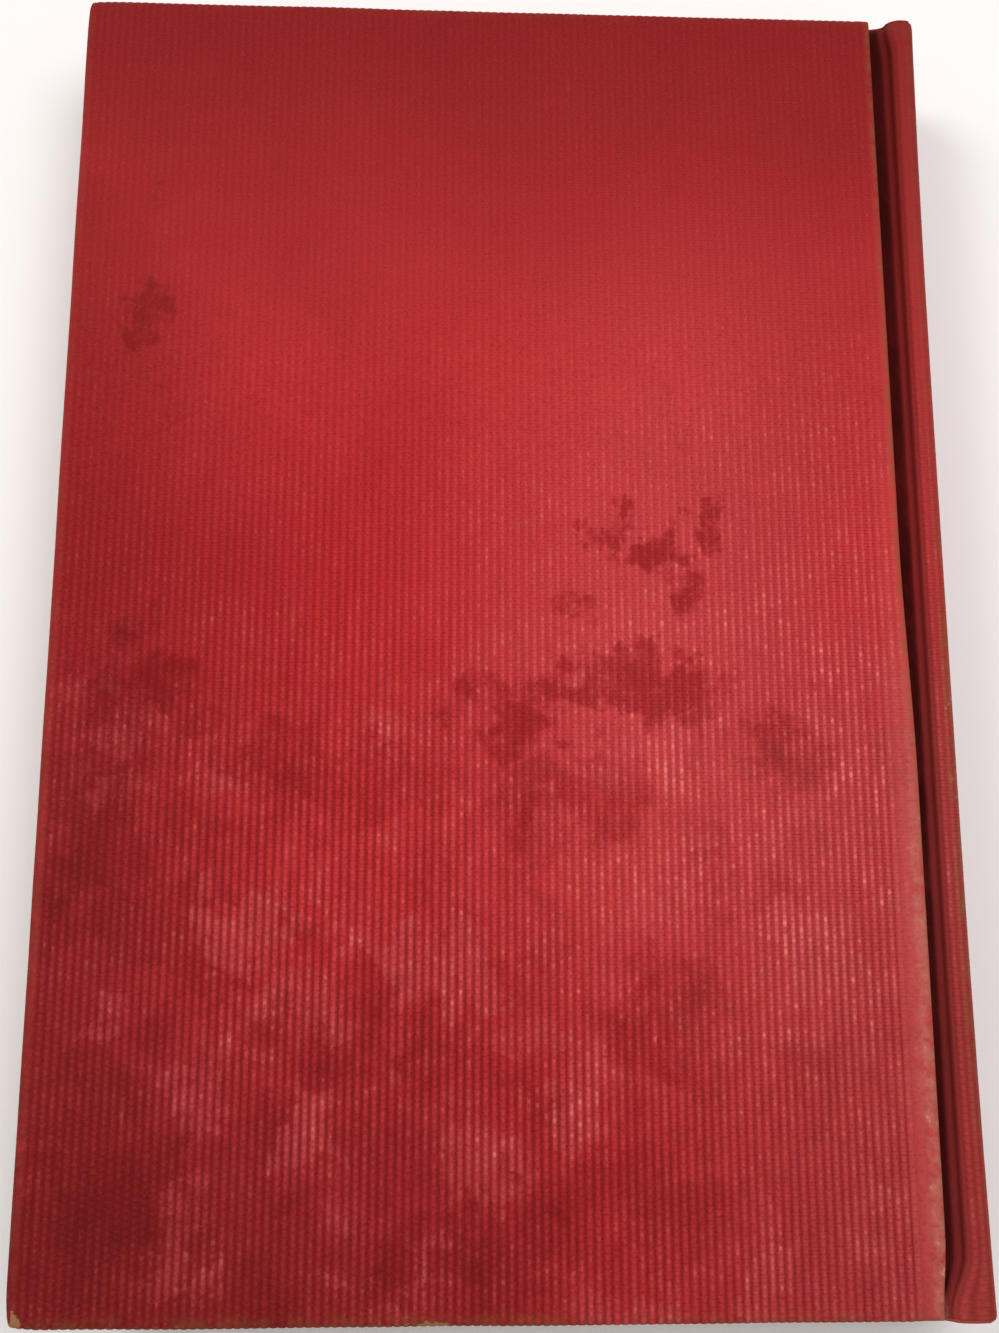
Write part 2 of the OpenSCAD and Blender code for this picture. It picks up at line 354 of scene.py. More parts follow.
def surface(n, shader, colour, rough, height, specular=None):
    """Joins the colour, the roughness and the fine relief to a material's shader."""
    bump = n.put("ShaderNodeBump", {"Height": height, "Distance": 1.0, "Strength": 1.0})
    n.send(shader, {"Base Color": colour, "Roughness": rough, "Normal": bump.outputs["Normal"]})
    if specular is not None:
        shader["Specular IOR Level"].default_value = specular


# Blots that the years left on the cover that lies uppermost: centre, reach and strength
DARK_BLOTS = [
    ((-60, 44), (5, 10), 0.75), ((-60, 66), (3, 6), 0.5), ((-56, 32), (4, 7), 0.4),
    ((15, 13), (6, 10), 0.82), ((24, 9), (7, 9), 0.82), ((33, 15), (4, 7), 0.68), ((12, -1), (6, 5), 0.6),
    ((18, -13), (30, 9), 0.80), ((40, -22), (16, 9), 0.58), ((-2, -17), (12, 9), 0.75),
    ((-56, -14), (16, 13), 0.8), ((-62, -34), (13, 24), 0.7), ((-38, -24), (16, 10), 0.5),
    ((6, -30), (26, 12), 0.6), ((-28, -66), (14, 18), 0.5), ((34, -44), (18, 14), 0.55),
    ((-58, -86), (18, 20), 0.6), ((22, -64), (22, 14), 0.55), ((-5, -92), (30, 10), 0.45),
]
RUBBED_BLOTS = [
    ((-18, -20), (9, 8), 0.6), ((-12, -56), (16, 20), 0.6), ((10, -74), (12, 12), 0.5),
    ((26, -26), (12, 8), 0.5), ((46, -56), (14, 28), 0.6), ((-38, -48), (12, 10), 0.6),
    ((0, -84), (22, 8), 0.5), ((-30, -78), (14, 10), 0.5),
]


def blots(n, spot, place, listed):
    """The strongest of several blots at each point."""
    masks = [n.group(spot, {
        "Place": place, "Centre": (x * MM, y * MM, BOOK_T), "Strength": strength,
        "Reach": (reach_x * MM, reach_y * MM, 6 * MM)})[0]
        for (x, y), (reach_x, reach_y), strength in listed]
    return n.most(0.0, *masks)


def book_cloth(weave, spot):
    """Red ribbed cloth: rubbed, stained, dark in the groove and bare at the worst corners."""
    made, n, shader, place = material("red book cloth")
    read = n.attribute("weave")
    edge, shade_and_grime, bare = n.split(n.attribute("wear_and_shade"))
    flat = n.split(read)[2]
    cloth = n.group(weave, {"Weave": read, "Relief": 0.10 * MM})
    across, height_up, level = n.split(place)

    # Noise of several sizes, and a shift that makes the blots' edges ragged
    warp = n.put("ShaderNodeTexNoise", {"Vector": place, "Scale": 90.0, "Detail": 4.0, "Roughness": 0.7})
    shift = n.vector("SUBTRACT", warp.outputs["Color"], (0.5, 0.5, 0.5))
    shift = n.vector("MULTIPLY", shift, (0.030, 0.045, 0.0))
    warped = n.vector("ADD", place, shift)
    nudge = n.put("ShaderNodeVectorMath", {0: shift, "Scale": 0.35}, operation="SCALE").outputs[0]
    broad = n.grain(place, 16.0, 5.0, 0.6)
    patchy = n.grain(n.stretched(place, (1.0, 0.55, 1.0)), 130.0, 8.0, 0.76)
    cloudy = n.grain(n.vector("ADD", place, nudge), 64.0, 8.0, 0.74)
    frayed = n.grain(place, 420.0, 5.0, 0.75)
    ragged = n.line(patchy, 2.0, -1.0)

    # Clean cloth, then soil and painted shade, the light's falloff painted into the colour, that darken it
    # towards the head, the fore-edge and the tail
    colour = n.tint(n.ramp(broad, 0.3, 0.7), (0.42, 0.0125, 0.0165), (0.54, 0.0200, 0.0240))
    low_half = n.ramp(n.line(ragged, 25 * MM, height_up), 6 * MM, -30 * MM)
    low_half = n.times(low_half, n.ramp(level, MID_Z, BOOK_T - 4 * MM, 0.3, 1.0))
    # Soil and painted shade: darker towards the head, the fore-edge and the tail
    soil_and_shade = n.ramp(height_up, 5 * MM, 112 * MM, 0.0, 0.72)
    soil_and_shade = n.most(soil_and_shade, n.ramp(across, -22 * MM, -76 * MM, 0.0, 0.55))
    low_soil_and_shade = n.times(n.ramp(height_up, -28 * MM, -116 * MM, 0.0, 0.76),
                       n.ramp(across, 72 * MM, -50 * MM, 0.30, 1.0))
    soil_and_shade = n.calc("ADD", soil_and_shade, n.times(low_soil_and_shade, n.calc("SUBTRACT", 1.0, soil_and_shade)))
    colour = n.tint(soil_and_shade, colour, (0.110, 0.0022, 0.0032))

    # Stains take the pink bloom away, rubbing brings it out
    stained = n.ramp(n.calc("ADD", blots(n, spot, warped, DARK_BLOTS), ragged), 0.10, 0.84)
    colour = n.tint(n.times(stained, 0.90), colour, (0.64, 0.22, 0.26), "MULTIPLY")
    mottle = n.times(n.ramp(cloudy, 0.48, 0.60), low_half)
    colour = n.tint(n.times(mottle, 0.75), colour, (0.66, 0.25, 0.30), "MULTIPLY")
    rubbed = n.ramp(n.calc("SUBTRACT", blots(n, spot, warped, RUBBED_BLOTS), ragged), 0.22, 0.60)
    rubbed = n.most(rubbed, n.ramp(cloudy, 0.49, 0.38, 0.0, 0.9))
    rubbed = n.times(n.most(rubbed, 0.2), low_half)
    colour = n.tint(n.times(rubbed, 0.36), colour, (0.52, 0.058, 0.062))
    # Darker and greyer towards the spine in the lower half
    greyed = n.times(n.ramp(across, 10 * MM, 70 * MM), low_half)
    colour = n.tint(n.times(greyed, 0.42), colour, (0.30, 0.055, 0.054))

    # The weave: painted shade with some dirt between ribs and at the crossings, and painted highlights,
    # pink, where threads would catch the light
    rib_shade_and_dirt = (0.135, 0.0035, 0.0055)
    smooth_end = n.ramp(height_up, -5 * MM, 60 * MM, 1.0, 0.5)
    depth = n.ramp(height_up, 70 * MM, -80 * MM, 0.24, 0.80)
    depth = n.times(depth, n.ramp(across, -25 * MM, 45 * MM, 1.0, 0.8))
    colour = n.tint(n.times(cloth["Valley"], depth), colour, rib_shade_and_dirt)
    open_weave = n.ramp(across, -25 * MM, 45 * MM, 0.18, 0.74)
    open_weave = n.times(open_weave, n.ramp(height_up, -90 * MM, -20 * MM, 0.3, 1.0))
    colour = n.tint(n.times(cloth["Crossing"], open_weave, smooth_end), colour, rib_shade_and_dirt)
    # Painted sheen: a broad lighter pink patch right of the middle, where a lamp's reflection lies; the
    # painted highlights on the ribs are stronger there too
    painted_sheen = n.group(spot, {"Place": place, "Centre": (40 * MM, -6 * MM, BOOK_T), "Strength": 1.0,
                             "Reach": (66 * MM, 88 * MM, 12 * MM)})[0]
    clean = n.line(stained, -0.7, 1.0)
    sheen_tint = n.times(painted_sheen, n.ramp(across, 62 * MM, 8 * MM, 0.20, 0.50), clean)
    colour = n.tint(sheen_tint, colour, (0.60, 0.068, 0.072))
    # Painted highlights on the ribs: most where rubbed and in the painted sheen, less on soiled and darker
    # cloth
    painted_highlight = n.line(rubbed, 0.68, n.line(painted_sheen, 0.46, 0.16))
    painted_highlight = n.times(painted_highlight, n.line(soil_and_shade, -0.85, 1.0), smooth_end, clean)
    colour = n.tint(n.times(cloth["Float"], painted_highlight), colour, (0.72, 0.150, 0.135))
    thread = cloth["Thread"]
    colour = n.tint(n.ramp(thread, 0.58, 0.78, 0.0, 0.25), colour, (0.60, 0.11, 0.09))
    colour = n.tint(n.ramp(thread, 0.50, 0.34, 0.0, 0.8), colour, (0.66, 0.50, 0.52), "MULTIPLY")

    # The ridge, the pressed band beside the groove, and painted shadow with some dirt in the groove
    on_ridge = n.ramp(across, BACK_X + 1.0 * MM, WALL_X + 0.6 * MM)
    colour = n.tint(n.times(on_ridge, 0.45), colour, (0.21, 0.020, 0.016))
    pressed = n.times(flat, n.calc("SUBTRACT", 1.0, shade_and_grime), n.line(soil_and_shade, -0.45, 0.42))
    colour = n.tint(pressed, colour, (0.44, 0.075, 0.062))
    # Painted shadow of the board's edge over the groove, with some dirt: nearly black
    groove_shadow_and_dirt = n.times(shade_and_grime, n.ramp(patchy, 0.2, 0.6, 0.85, 1.0))
    colour = n.tint(groove_shadow_and_dirt, colour, (0.032, 0.0008, 0.0005))

    # Worn edges, the tan lip of the groove, specks of bare thread and open board
    worn = n.ramp(n.calc("ADD", frayed, n.line(patchy, 0.6, -0.3)), 0.36, 0.62)
    worn = n.times(edge, worn)
    colour = n.tint(n.times(worn, 0.62), colour, (0.19, 0.080, 0.028))
    lip = n.times(n.ramp(across, BACK_X - 2.4 * MM, BACK_X - 0.7 * MM),
                  n.ramp(across, BACK_X + 1.1 * MM, BACK_X + 0.6 * MM),
                  n.ramp(height_up, 8 * MM, -55 * MM), n.ramp(n.line(ragged, 0.25, frayed), 0.30, 0.72))
    colour = n.tint(n.times(lip, 0.66), colour, (0.50, 0.17, 0.125))
    specks = n.times(n.most(n.ramp(edge, 0.55, 0.8), lip), n.ramp(frayed, 0.62, 0.70))
    colour = n.tint(n.times(specks, 0.75), colour, (0.52, 0.33, 0.20))
    open_board = n.times(n.ramp(n.line(frayed, 1.2, bare), 1.02, 1.16), n.ramp(bare, 0.05, 0.3))
    colour = n.tint(open_board, colour, (0.30, 0.125, 0.052))

    rough = n.line(rubbed, -0.10, 0.56)
    rough = n.line(cloth["Float"], -0.12, rough)
    rough = n.line(n.most(shade_and_grime, worn), 0.25, rough)
    rough = n.line(patchy, 0.10, rough, clamp=True)
    fray_depth = n.times(open_board, frayed, -0.25 * MM)
    surface(n, shader, colour, rough, n.calc("ADD", cloth["Height"], fray_depth), specular=0.08)
    return made


def old_paper(name, fibre, light, dark, edge_dark):
    """Uncoated paper, browned towards its edges, with small specks."""
    made, n, shader, place = material(name)
    paper = n.group(fibre, {"Place": place})
    colour = n.tint(paper["Mottle"], dark, light)
    x, y, _ = n.split(place)
    near_end = n.ramp(n.calc("ABSOLUTE", y), BLOCK_H / 2 - 14 * MM, BLOCK_H / 2)
    rim = n.most(near_end, n.ramp(x, LEAF_X + 14 * MM, LEAF_X))
    rim = n.times(rim, n.line(paper["Mottle"], 0.9, 0.1))
    colour = n.tint(n.times(rim, 0.5), colour, edge_dark)
    colour = n.tint(n.times(paper["Specks"], 0.45), colour, (0.36, 0.20, 0.09))
    surface(n, shader, colour, n.line(paper["Mottle"], 0.12, 0.72), paper["Height"], specular=0.3)
    return made


def page_stack(fibre, edges):
    """The leaves seen from their cut edges."""
    made, n, shader, place = material("cut edges of the leaves")
    lines = n.group(edges, {"Leaf": n.attribute("leaf", "Fac"), "Place": place})
    paper = n.group(fibre, {"Place": place})
    colour = n.tint(lines["Tone"], (0.54, 0.42, 0.26), (0.74, 0.65, 0.47))
    colour = n.tint(n.times(lines["Gap"], 0.6), colour, (0.25, 0.165, 0.085))
    dust = n.ramp(n.split(place)[1], BLOCK_H / 2 - 1 * MM, BLOCK_H / 2)
    dust = n.times(dust, n.line(paper["Mottle"], 0.7, 0.05))
    colour = n.tint(dust, colour, (0.26, 0.20, 0.135))
    colour = n.tint(n.times(paper["Specks"], 0.6), colour, (0.28, 0.15, 0.06))
    surface(n, shader, colour, n.line(lines["Gap"], 0.1, 0.8), lines["Height"], specular=0.25)
    return made


def open_gauze():
    """Coarse cotton gauze set in glue, seen only where the leaves part from the case."""
    made, n, shader, place = material("glued gauze")
    threads = [n.ramp(n.calc("SINE", n.times(along, math.tau / (0.9 * MM))), 0.2, 0.9)
               for along in n.split(n.attribute("strip"))[:2]]
    thread = n.most(*threads)
    colour = n.tint(thread, (0.34, 0.24, 0.12), (0.66, 0.58, 0.42))
    colour = n.tint(n.times(n.grain(place, 300.0, 4.0), 0.4), colour, (0.30, 0.20, 0.10))
    surface(n, shader, colour, n.line(thread, 0.3, 0.5), n.times(thread, 0.05 * MM))
    return made


def plain_board(name, light, dark, scale):
    """Pressed grey-brown board or card: short fibres and flecks in layers."""
    made, n, shader, place = material(name)
    layered = n.stretched(place, (1.0, 1.0, 6.0))
    soft = n.grain(layered, scale, 6.0, 0.65)
    fleck = n.grain(layered, scale * 6, 2.0, 0.5)
    colour = n.tint(soft, dark, light)
    colour = n.tint(n.ramp(fleck, 0.62, 0.75, 0.0, 0.5), colour, tuple(0.45 * c for c in dark))
    surface(n, shader, colour, n.line(soft, 0.15, 0.78), n.times(fleck, 0.05 * MM))
    return made


def wound_thread(name, light, dark):
    """Thread wound round the core of a headband."""
    made, n, shader, place = material(name)
    strands = n.grain(place, 5200.0, 3.0, 0.6)
    colour = n.tint(n.ramp(strands, 0.35, 0.65), dark, light)
    colour = n.tint(n.times(n.grain(place, 500.0, 4.0), 0.35), colour, (0.22, 0.17, 0.12))
    surface(n, shader, colour, n.line(strands, 0.2, 0.5), n.times(strands, 0.03 * MM))
    return made


# The cloth

def cloth_columns():
    """The cloth in section, from the middle of the spine to the fore-edge, one entry a column.
    outer and inner are points of its outside and of its turned-in end, rib counts ribs from the
    spine, flat is 1 where ribs are pressed away, edge says where it is worn, and the column after
    it where the groove and the ridge's foot are painted dark, with painted shade and some dirt."""
    columns = []

    def add(outer, inner, bend, turn, rib, flat, edge, shade_and_grime):
        columns.append((*outer, *inner, bend, turn, rib, flat, edge, shade_and_grime))

    def polar(centre, radius, angle):
        a = math.radians(angle)
        return centre + radius * np.array([math.cos(a), math.sin(a)])

    phases = (0.0, 0.2, 0.5, 0.8)
    cap_d = SKIN + INLAY + CLOTH + 2 * GLUE
    fold_d = SKIN + CLOTH + GLUE
    spine_ribs = round(math.radians(RIDGE_A) * SPINE_R / RIB_PITCH)
    for i in range(spine_ribs):
        for phase in phases:
            a = RIDGE_A * (i + phase) / spine_ribs
            turn = CAP_TURN_IN + (JOINT_TURN_IN - CAP_TURN_IN) * smooth(RIDGE_A - 3, RIDGE_A, a)
            add(polar(SPINE_C, SPINE_R - RIB_H, a), polar(SPINE_C, SPINE_R - cap_d, a),
                CAP_BEND, turn, i + phase, 0, 0.25 + 0.35 * smooth(15, 21, a), 0)
    ridge_ribs = round(math.radians(180 - RIDGE_A) * RIDGE_R / RIB_PITCH)
    for i in range(ridge_ribs):
        for phase in phases:
            a = RIDGE_A + (180 - RIDGE_A) * (i + phase) / ridge_ribs
            # Towards the groove the ridge's foot is painted darker: painted shade with some dirt
            depth = cap_d + (fold_d - cap_d) * smooth(RIDGE_A, 60, a)
            add(polar(RIDGE_C, RIDGE_R - RIB_H, a), polar(RIDGE_C, RIDGE_R - depth, a), JOINT_BEND,
                JOINT_TURN_IN, spine_ribs + i + phase, smooth(115, 165, a),
                0.9 * smooth(20, 40, a) * (1 - smooth(70, 105, a)), 0.42 * smooth(125, 172, a))
    first_rib = spine_ribs + ridge_ribs

    # Down through the hollow, along the groove and up the board's back edge
    fillet = 0.4 * MM
    top_z = BOOK_T - RIB_H
    line = [arc(HOLLOW_C, HOLLOW_R + RIB_H, 0, -90, 6)]
    low_z = GROOVE_Z - RIB_H
    line.append(np.array([[x, low_z] for x in np.linspace(HOLLOW_C[0], BACK_X + fillet, 6)[1:-1]]))
    line.append(arc(np.array([BACK_X + fillet, low_z + fillet]), fillet, 270, 180, 4))
    line.append(arc(np.array([BACK_X - EDGE_R, top_z - EDGE_R]), EDGE_R, 0, 90, 6))
    line.append(np.array([[BACK_X - PRESSED_W * k, top_z] for k in (0.5, 0.75, 1)]))
    line = np.concatenate(line)
    run = np.concatenate([[0], np.cumsum(np.linalg.norm(np.diff(line, axis=0), axis=1))])
    last_rib = math.ceil(first_rib + run[-1] / RIB_PITCH)
    for point, s in zip(line, run):
        x, z = point
        on_board = smooth(BACK_X + fillet, BACK_X - 1.2 * MM, x)
        up_wall = smooth(GROOVE_Z + 0.8 * MM, top_z - 0.35 * MM, z) if x < BACK_X + fillet else 0
        under = x - 0.2 * MM * (1 - abs(2 * on_board - 1)) - 0.05 * MM * up_wall
        inner = np.array([under, GROOVE_Z - fold_d + (TURNED_LOW - GROOVE_Z + fold_d) * on_board])
        if x > HOLLOW_C[0]:
            inner = HOLLOW_C + (point - HOLLOW_C) * (HOLLOW_R + fold_d) / (HOLLOW_R + RIB_H)
        near_lip = smooth(BACK_X - 1.3 * MM, BACK_X - 0.5 * MM, x) * up_wall
        # The groove's floor is painted darkest beside the board's edge: painted shadow with some dirt
        add(point, inner, JOINT_BEND + (EDGE_R - JOINT_BEND) * on_board,
            JOINT_TURN_IN + (TURN_IN - JOINT_TURN_IN) * smooth(0.7, 1, on_board),
            first_rib + (last_rib - first_rib) * s / run[-1],
            1 - 0.2 * near_lip - 0.2 * (x < BACK_X - 1 * MM), near_lip,
            (0.50 + 0.50 * smooth(WALL_X - 0.2 * MM, WALL_X - 1.1 * MM, x)) * (1 - up_wall))

    # The board, rib by rib
    ribs_from = BACK_X - PRESSED_W
    count = int((ribs_from - FORE_X - EDGE_R) / RIB_PITCH)
    for i in range(count):
        for phase in phases[(1 if i == 0 else 0):]:
            x = ribs_from - (i + phase) * RIB_PITCH
            add((x, top_z), (x, TURNED_LOW), EDGE_R, TURN_IN, last_rib + i + phase,
                0.55 * (i == 0), 0, 0)
    left = ribs_from - count * RIB_PITCH
    for k, x in enumerate(np.linspace(left, FORE_X + EDGE_R, 4)):
        add((x, top_z), (x, TURNED_LOW), EDGE_R, TURN_IN, last_rib + count + k * 0.25, 0.3 + 0.2 * k,
            0.08 * k, 0)
    return np.array(columns)


def wrap_steps():
    """Rings round head, fore-edge and tail: how far each has turned through the outer and the inner
    bend, and how far in it then runs, from 0 at the bend to 1 at the cut edge."""
    steps = [("outer", a) for a in (30, 60, 90)] + [("wall", 0.5), ("inner", 0)]
    steps += [("inner", a) for a in (30, 60, 90)] + [("turned", t) for t in (0.1, 0.22, 0.6, 1.0)]
    return steps


def step_place(step, bend, depth, turn):
    """Depth below the outside and inset from the book's outline, at one ring."""
    kind, value = step
    a = math.radians(value)
    if kind == "outer":
        return bend * (1 - math.cos(a)), bend * (1 - math.sin(a))
    if kind == "wall":
        return depth * value, 0.0
    if kind == "inner":
        return depth - bend * (1 - math.sin(a)), bend * (1 - math.cos(a))
    return depth, bend + (turn - bend) * value


def settled(x, y, z, on_spine, near_groove):
    """The way the case has settled: the ridge flares and the groove closes towards head and tail."""
    end = np.abs(y) / (COVER_H / 2)
    x = x + 0.75 * MM * on_spine * end ** 3
    tail = smooth(9 * MM, 1.0 * MM, COVER_H / 2 + y)
    head = smooth(6 * MM, 1.0 * MM, COVER_H / 2 - y)
    x = x - near_groove * (2.5 * tail + 0.7 * head) * MM
    on_floor = smooth(GROOVE_Z + 2.0 * MM, GROOVE_Z, z)
    z = z + near_groove * on_floor * (0.9 * tail + 0.3 * head) * MM
    return x, z


def knocked(points, scuffed):
    """Presses in the bound corners, the worst one the most, and rounds them in plan."""
    for side_y, depth in ((-1, 0.55 if scuffed else 0.25), (1, 0.25)):
        corner = np.array([FORE_X, side_y * COVER_H / 2])
        inset_x = np.clip((points[:, 0] - FORE_X) / CORNER_R, 0, 1)
        inset_y = np.clip((COVER_H / 2 - side_y * points[:, 1]) / CORNER_R, 0, 1)
        a, b = 1 - inset_x, 1 - inset_y
        near = (a > 0) & (b > 0)
        round_a, round_b = a * np.sqrt(1 - b * b / 2), b * np.sqrt(1 - a * a / 2)
        points[near, 0] += CORNER_R * (a - round_a)[near]
        points[near, 1] -= side_y * CORNER_R * (b - round_b)[near]
        away = np.hypot(points[:, 0] - corner[0], points[:, 1] - corner[1])
        push = depth * MM * smooth(7 * MM, 0, away) ** 2
        points[:, 0] += 0.6 * push
        points[:, 1] -= side_y * 0.6 * push
    return points


def cloth_sheet(name, seed, scuffed):
    """Half of the book's cloth in one sheet: from the middle of the spine over ridge, groove and
    board, turned in all round, with its thickness. Only the cover that lay uppermost is scuffed bare."""
    columns = cloth_columns()
    outer, inner = columns[:, 0:2], columns[:, 2:4]
    bend, turn, rib, flat, edge, shade_and_grime = columns[:, 4:10].T
    count = len(columns)
    depth = np.linalg.norm(outer - inner, axis=1)
    on_spine = smooth(WALL_X - 0.8 * MM, WALL_X + 1.5 * MM, outer[:, 0])
    on_board = outer[:, 0] < BACK_X - EDGE_R
    on_lip = np.interp(outer[:, 0] - BACK_X, np.array([-3.0, -0.85, 0.4, 2.5]) * MM, [0, 1, 1, 0])
    near_groove = smooth(BACK_X + 0.3 * MM, WALL_X - 0.2 * MM, outer[:, 0]) * \
        smooth(WALL_X + 3.0 * MM, WALL_X + 0.8 * MM, outer[:, 0])

    # Rows from tail to head: close together near the ends
    ends = np.array([0.0, 0.45, 1.0, 1.7, 2.6, 3.8, 5.4, 7.5]) * MM
    half = COVER_H / 2
    middle = np.linspace(-half + 10.5 * MM, half - 10.5 * MM, 47)
    rows = np.concatenate([-half + EDGE_R + ends, middle, half - EDGE_R - ends[::-1]])
    reach = rows / rows[-1]
    tall = len(rows)

    points, weave, wear_and_shade = [], [], []

    def place(i, x, y, z, inside):
        x, z = settled(x, y, z, on_spine[i], near_groove[i])
        if scuffed and not inside:
            spread = smooth(12 * MM, -28 * MM, y) * smooth(0, 12 * MM, y + half)
            x = x + LIP_SPREAD * on_lip[i] * spread
        points.append((x, y, z))
        at_head = float(smooth(0, 70 * MM, y))
        pressed = flat[i] * (1 - 0.6 * float(smooth(-70 * MM, 15 * MM, y))) if on_board[i] else flat[i]
        flattened = 1.0 if inside else max(pressed, 0.35 * at_head)
        weave.append((rib[i], y / THREAD_PITCH + THREADS_BELOW, flattened))
        return len(points) - 1

    def wear(i, y, rim, inside):
        near_end_edge = smooth(2.4 * MM, 0.2 * MM, COVER_H / 2 - abs(y)) * (0 if inside else 1)
        rubbed = edge[i]
        if outer[i, 0] > WALL_X:
            rubbed *= 0.3 + 0.7 * smooth(70 * MM, 10 * MM, abs(y + 30 * MM))
        worn = max(rubbed, (0.75 if y < 0 else 0.3) * max(rim, near_end_edge * 0.8))
        from_corner = math.hypot(outer[i, 0] - FORE_X, y + half)
        bare = smooth(4.2 * MM, 0.8 * MM, from_corner)
        scuff = smooth(5 * MM, 1 * MM, abs(outer[i, 0] - SCUFF_X)) * smooth(1.6 * MM, 0.2 * MM, y + half)
        bare = max(bare, 0.72 * scuff)
        wear_and_shade.append((worn, shade_and_grime[i], bare if scuffed and not inside else 0))

    main = np.zeros((count, tall), int)
    for i in range(count):
        for j in range(tall):
            y = reach[j] * (half - bend[i])
            x, z = outer[i]
            main[i, j] = place(i, x, y, z, False)
            wear(i, y, 0, False)

    # Each ring runs down one side of the rim: head from the spine, fore-edge, tail back to the spine
    zone = 25 * MM
    rings = []
    for step in wrap_steps():
        ring = []
        inside = step[0] == "turned"
        for side in (1, -1):
            part = []
            for i in range(count):
                drop, inset = step_place(step, bend[i], depth[i], turn[i])
                spot = outer[i] + (inner[i] - outer[i]) * (drop / depth[i])
                from_fore = spot[0] - FORE_X
                if from_fore < zone:
                    spot[0] = FORE_X + inset + (from_fore - EDGE_R) * (zone - inset) / (zone - EDGE_R)
                y = side * (half - inset)
                part.append(place(i, spot[0], y, spot[1], inside))
                wear(i, y, 0.0 if inside else 1.0, inside)
            ring.append(part)
        fore = []
        for j in range(tall - 2, 0, -1):
            drop, inset = step_place(step, EDGE_R, depth[-1], TURN_IN)
            from_end = half - abs(rows[j])
            if from_end < zone:
                from_end = inset + (from_end - EDGE_R) * (zone - inset) / (zone - EDGE_R)
            y = math.copysign(half - from_end, rows[j])
            fore.append(place(count - 1, FORE_X + inset, y, outer[-1, 1] - drop, inside))
            weave[-1] = (rib[-1] + (drop + inset) / RIB_PITCH, y / THREAD_PITCH + THREADS_BELOW, 0.8)
            wear(count - 1, abs(y), 0.0 if inside else 0.8, inside)
        rings.append(ring[0] + fore + ring[1][::-1])

    points = knocked(np.array(points), scuffed)
    for k in range(len(points)):
        x, y, z = points[k]
        waver = wander(x, y, 14 * MM, seed) * 0.10 + wander(x, y, 45 * MM, seed + 3) * 0.12
        side = smooth(half - 6 * MM, half, abs(y))
        points[k, 1] += waver * side * MM
        points[k, 0] += 0.10 * MM * wander(y, z, 18 * MM, seed + 5) * smooth(FORE_X + 5 * MM, FORE_X, x)

    rim = [*main[:, -1], *main[-1, -2:0:-1], *main[::-1, 0]]
    loops = np.array([rim] + rings)
    faces = np.concatenate([grid_faces(main.T), grid_faces(loops)])

    # The glued side lies one thickness of cloth below, and the cut edges close the sheet
    plain = mesh_object(name, points, faces)
    normals = np.zeros(len(points) * 3)
    plain.data.vertex_normals.foreach_get("vector", normals)
    below = points - CLOTH * normals.reshape(-1, 3)
    bpy.data.meshes.remove(plain.data)
    total = len(points)
    cut = np.concatenate([loops[-1], loops[-2:0:-1, -1], main[0, :], loops[1:-1, 0]])
    ahead = np.roll(cut, -1)
    rim_faces = np.stack([cut, cut + total, ahead + total, ahead], 1)
    weave, wear_and_shade = np.array(weave), np.array(wear_and_shade)
    glued = weave.copy()
    glued[:, 2] = 1.0
    return (np.concatenate([points, below]), np.concatenate([faces, faces[:, ::-1] + total, rim_faces]),
            np.concatenate([weave, glued]), np.concatenate([wear_and_shade, wear_and_shade * 0]))


def rib_press(cloth):
    """Geometry nodes that raise the ribs of the weave on a sheet, by its rib count, a little unevenly."""
    n, given, out = new_group(
        "rib press", {"Sheet": GEOMETRY, **numbers("Rib height", "Unevenness", "Seed")},
        {"Sheet": GEOMETRY}, "GeometryNodeTree")
    read = n.put("GeometryNodeInputNamedAttribute", {"Name": "weave"}, data_type="FLOAT_VECTOR").outputs[0]
    rib, thread, flat = n.split(read)
    crest = n.calc("SINE", n.times(n.calc("FRACT", rib), math.pi))
    crest = n.calc("POWER", n.most(crest, 0.0), 0.8)
    spot = n.join(n.calc("FLOOR", rib), n.times(thread, 0.12), given["Seed"])
    uneven = n.calc("SUBTRACT", n.grain(spot, 0.9, 2.0), 0.5)
    scale = n.line(n.times(uneven, given["Unevenness"]), 2.0, 1.0)
    lift = n.times(crest, scale, given["Rib height"], n.calc("SUBTRACT", 1.0, flat))
    normal = n.put("GeometryNodeInputNormal").outputs[0]
    offset = n.put("ShaderNodeVectorMath", {0: normal, "Scale": lift}, operation="SCALE").outputs[0]
    n.send(out, {"Sheet": n.painted(n.whole(n.moved(given["Sheet"], offset)), cloth)})
    return n.tree


def run_nodes(piece, tree, inputs):
    """Applies a geometry node tree to a piece and leaves it a plain mesh."""
    modifier = piece.modifiers.new("shape", "NODES")
    modifier.node_group = tree
    names = {s.name: s.identifier for s in tree.interface.items_tree if s.in_out == "INPUT"}
    for key, value in inputs.items():
        modifier[names[key]] = value
    seen = piece.evaluated_get(bpy.context.evaluated_depsgraph_get())
    mesh = bpy.data.meshes.new_from_object(seen)
    piece.modifiers.clear()
    old = piece.data
    piece.data = mesh
    mesh.name = piece.name
    bpy.data.meshes.remove(old)
    mesh.polygons.foreach_set("use_smooth", [True] * len(mesh.polygons))
    return piece


# Paper

def corner_angle(p, q, r):
    c = (p * p + q * q - r * r) / (2 * p * q)
    return 0.0 if c > 0.9999999 else math.degrees(math.acos(c))


def shoulder_line(deep):
    """A layer at a depth below the cloth, from the tip of the shoulder down into the joint."""
    tip = RIDGE_A + 180 - corner_angle(RIDGE_R - deep, SPINE_R - RIDGE_R, FOLD_R)
    return np.concatenate([arc(RIDGE_C, RIDGE_R - deep, tip, 180, 10),
                           arc(HOLLOW_C, HOLLOW_R + deep, 0, -90, 10)])


